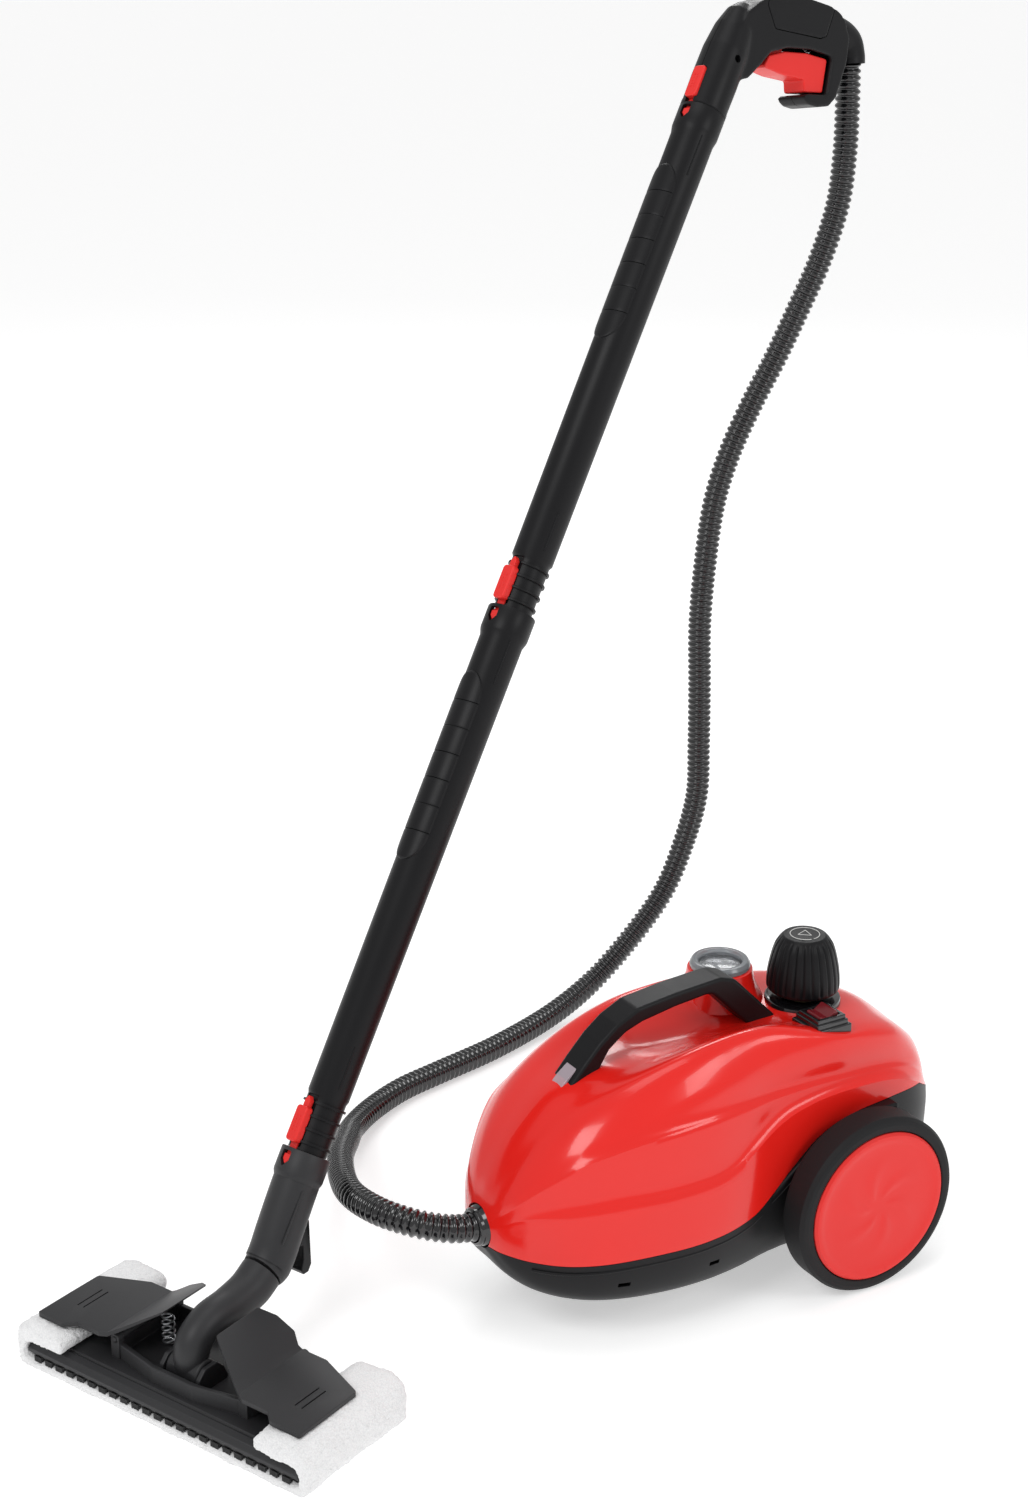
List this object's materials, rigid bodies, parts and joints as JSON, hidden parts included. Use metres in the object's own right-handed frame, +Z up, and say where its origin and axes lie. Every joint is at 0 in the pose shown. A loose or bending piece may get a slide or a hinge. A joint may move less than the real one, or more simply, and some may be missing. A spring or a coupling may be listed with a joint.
{
  "type": "steam mop",
  "caption": "Wheeled canister steam mop: a red boiler body with a corrugated hose, a tubular wand with a trigger gun, and a flat floor head with a clamped terry cloth.",
  "frame": {"origin": "on the floor, under the middle of the bounding box of everything but the hose", "axes": "+Z up; the canister points along -Y with its wheel axle along X; the wand leans from the floor head towards -X and +Y"},
  "size_m": [0.598, 0.9674, 1.0311],
  "materials": {
    "red_gloss": "glossy moulded red",
    "red_satin": "satin red",
    "black_satin": "fine grained black",
    "black_gloss": "polished black",
    "grey_satin": "fine grained dark grey",
    "tyre_rubber": "matt",
    "steel": "satin",
    "brass": "turned",
    "clear_plastic": "polished clear",
    "smoked_red": "translucent dark red",
    "dial_white": "printed",
    "terry_cloth": "looped pile",
    "bristle_black": "matt",
    "beige_ceramic": "matt"
  },
  "bodies": {
    "canister": {"body_shell": "red_gloss", "base_pan": "black_satin", "carry_handle": "grey_satin", "boiler_tank": "steel", "heating_element": "steel", "filler_neck": "brass", "cap_collar": "black_gloss", "gauge_body": "black_satin", "gauge_dial": "dial_white", "gauge_lens": "clear_plastic", "gauge_bezel": "clear_plastic", "switch_housing": "black_gloss", "indicator_lens": "clear_plastic", "hose_socket": "black_satin", "power_inlet": "black_satin", "axle": "steel", "thermostat": "beige_ceramic", "solenoid_valve": "brass", "steam_pipe": "brass", "steam_hose": "black_gloss", "neck_pipe": "grey_satin", "parking_hook": "black_satin", "lower_tube": "black_satin", "upper_tube": "black_satin", "gun_shell_left": "black_satin", "gun_shell_right": "black_satin", "grip_inlay": "black_satin", "trigger_spring": "steel", "microswitch": "black_satin", "nozzle_pipe": "brass", "hose_cuff": "black_gloss"},
    "wheel_near": {"wheel_near": "black_satin", "tyre_near": "tyre_rubber", "hubcap_near": "red_satin"},
    "wheel_far": {"wheel_far": "black_satin", "tyre_far": "tyre_rubber", "hubcap_far": "red_satin"},
    "caster_swivel": {"caster_fork": "grey_satin"},
    "caster_roller": {"caster_wheel": "tyre_rubber"},
    "cap_stem": {"cap_plug": "black_satin", "cap_seal": "tyre_rubber"},
    "cap_grip": {"cap_knob": "black_satin"},
    "rocker": {"switch_rocker": "smoked_red"},
    "needle": {"gauge_needle": "black_satin"},
    "trigger": {"trigger": "red_satin"},
    "lower_latch": {"latch_lower": "red_satin"},
    "upper_latch": {"latch_upper": "red_satin"},
    "gun_button": {"gun_latch": "red_satin"},
    "elbow": {"neck_elbow": "grey_satin"},
    "head": {"head_plate": "grey_satin", "bristle_strip": "bristle_black", "mop_cloth": "terry_cloth", "clamp_spring_right": "steel", "clamp_spring_left": "steel"},
    "clamp_right": {"clamp_right": "grey_satin"},
    "clamp_left": {"clamp_left": "grey_satin"}
  },
  "joints": [
    {"name": "wheel_near_spin", "type": "hinge", "parent": "canister", "child": "wheel_near", "pos_m": [0.11277, 0.18033, 0.08], "axis": [1, 0, 0], "continuous": true},
    {"name": "wheel_far_spin", "type": "hinge", "parent": "canister", "child": "wheel_far", "pos_m": [0.11277, 0.18033, 0.08], "axis": [1, 0, 0], "continuous": true},
    {"name": "caster_turn", "type": "hinge", "parent": "canister", "child": "caster_swivel", "pos_m": [0.11277, -0.05468, 0.03], "axis": [0, 0, 1], "continuous": true},
    {"name": "caster_roll", "type": "hinge", "parent": "caster_swivel", "child": "caster_roller", "pos_m": [0.11277, -0.04367, 0.013], "axis": [1, 0, 0], "continuous": true},
    {"name": "cap_lift", "type": "slide", "parent": "canister", "child": "cap_stem", "axis": [0, 0, 1], "range_m": [0, 0.0221]},
    {"name": "cap_turn", "type": "hinge", "parent": "cap_stem", "child": "cap_grip", "pos_m": [0.11277, 0.18832, 0.23], "axis": [0, 0, 1], "range_deg": [0, 1980]},
    {"name": "switch_rock", "type": "hinge", "parent": "canister", "child": "rocker", "pos_m": [0.16477, 0.16933, 0.225], "axis": [1, 0, 0], "range_deg": [-14, 0]},
    {"name": "gauge_turn", "type": "hinge", "parent": "canister", "child": "needle", "pos_m": [0.07077, 0.13032, 0.242], "axis": [0, 0, -1], "range_deg": [0, 270], "stiffness_Nm_per_rad": 0.0002},
    {"name": "trigger_pull", "type": "hinge", "parent": "canister", "child": "trigger", "pos_m": [-0.21193, 0.36432, 0.98914], "axis": [0.9669, 0.224, 0.1222], "range_deg": [0, 5], "stiffness_Nm_per_rad": 0.6, "springref_deg": -2.86, "deforming": ["trigger_spring"]},
    {"name": "lower_latch_press", "type": "hinge", "parent": "canister", "child": "lower_latch", "pos_m": [0.03323, -0.25538, 0.18524], "axis": [0.9669, 0.224, 0.1222], "range_deg": [0, 3.2], "stiffness_Nm_per_rad": 0.3, "springref_deg": -1.15},
    {"name": "upper_latch_press", "type": "hinge", "parent": "canister", "child": "upper_latch", "pos_m": [-0.07599, 0.00444, 0.57316], "axis": [0.9669, 0.224, 0.1222], "range_deg": [0, 3.2], "stiffness_Nm_per_rad": 0.3, "springref_deg": -1.15},
    {"name": "gun_latch_press", "type": "hinge", "parent": "canister", "child": "gun_button", "pos_m": [-0.18521, 0.26426, 0.96109], "axis": [0.9669, 0.224, 0.1222], "range_deg": [0, 3.2], "stiffness_Nm_per_rad": 0.3, "springref_deg": -1.15},
    {"name": "neck_swivel", "type": "hinge", "parent": "canister", "child": "elbow", "pos_m": [0.05872, -0.30636, 0.077], "axis": [-0.3453, 0.8214, 0.454], "range_deg": [-45, 45]},
    {"name": "head_pitch", "type": "hinge", "parent": "elbow", "child": "head", "pos_m": [0.09127, -0.3838, 0.032], "axis": [0.9219, 0.3875, 0], "range_deg": [-36, 21]},
    {"name": "clamp_right_press", "type": "hinge", "parent": "head", "child": "clamp_right", "pos_m": [0.14621, -0.33901, 0.041], "axis": [-0.3875, 0.9219, 0], "range_deg": [-25, 0], "stiffness_Nm_per_rad": 0.6, "springref_deg": 5.73, "deforming": ["clamp_spring_right"]},
    {"name": "clamp_left_press", "type": "hinge", "parent": "head", "child": "clamp_left", "pos_m": [0.02084, -0.39171, 0.041], "axis": [-0.3875, 0.9219, 0], "range_deg": [0, 25], "stiffness_Nm_per_rad": 0.6, "springref_deg": -5.73, "deforming": ["clamp_spring_left"]}
  ],
  "couplings": [
    {"joint": "cap_lift", "follows": "cap_turn", "m_per_rad": 0.00063662}
  ]
}
